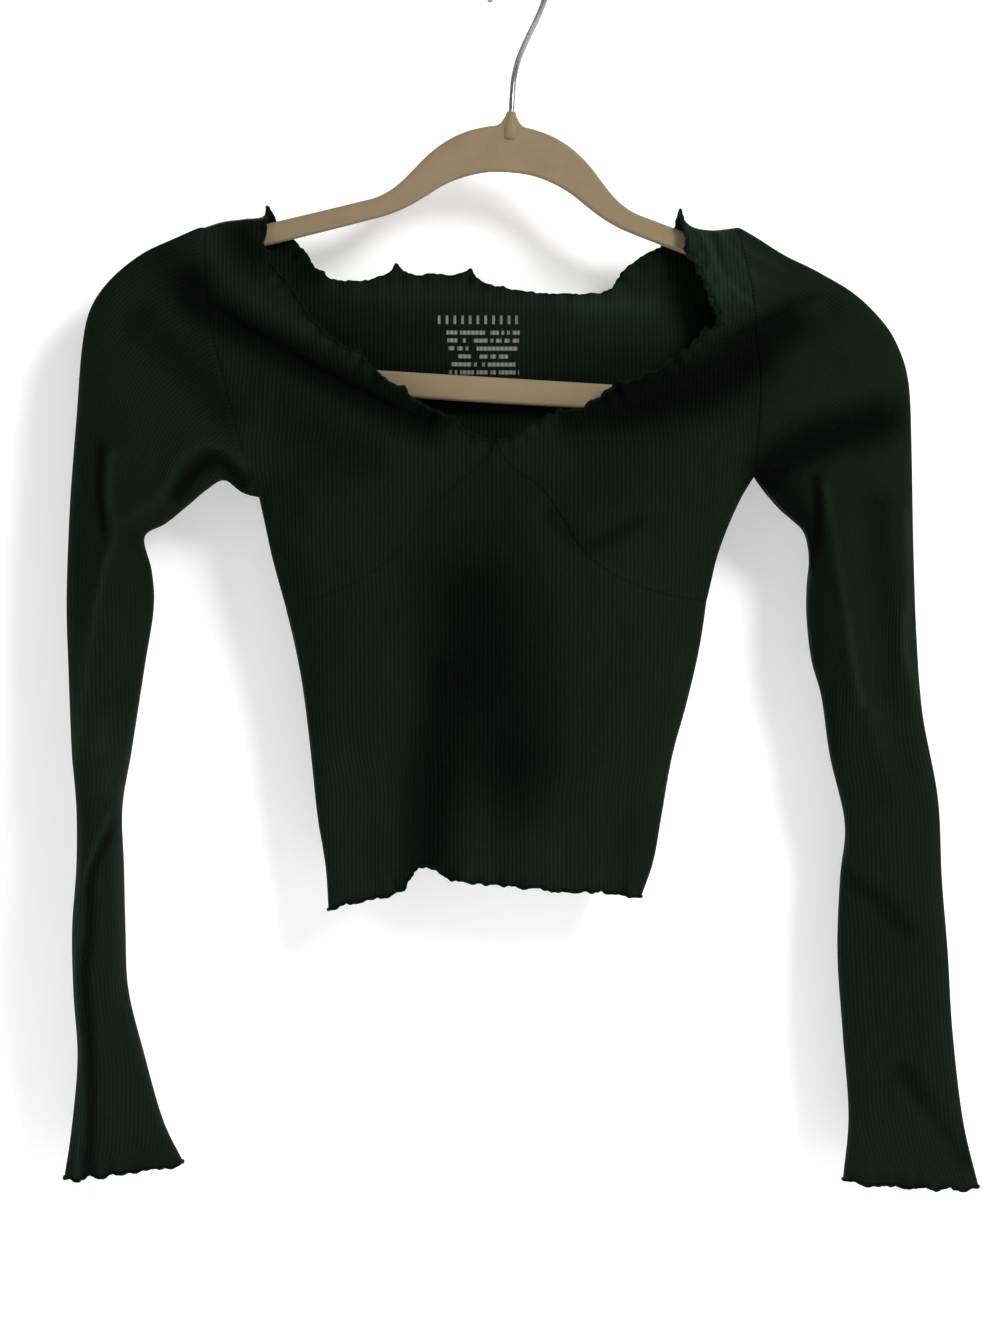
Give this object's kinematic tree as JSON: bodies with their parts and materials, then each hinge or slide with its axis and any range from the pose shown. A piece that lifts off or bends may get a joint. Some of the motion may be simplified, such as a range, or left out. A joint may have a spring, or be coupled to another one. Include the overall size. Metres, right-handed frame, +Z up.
{
  "type": "crop top on a hanger",
  "caption": "Long-sleeved rib-knit crop top with a wide scooped neckline, ruffled edges, slanting bust seams and flared cuffs, hanging on a slim flocked hanger with a wire hook.",
  "frame": {"origin": "inner top of the hook's loop, where a rail carries the hanger", "axes": "+Z up, -Y towards the front of the top, +X towards the wearer's left"},
  "size_m": [0.4934, 0.0469, 0.6697],
  "materials": {
    "rib_knit": "matte fine vertical rib",
    "flocking": "matte velvet flocking",
    "hook_wire": "polished wire"
  },
  "bodies": {
    "root": {"front_lower": "rib_knit", "front_bust_left": "rib_knit", "front_bust_right": "rib_knit", "back": "rib_knit", "sleeve_left": "rib_knit", "sleeve_right": "rib_knit", "hanger_body": "flocking", "hanger_hook": "hook_wire"}
  },
  "joints": []
}
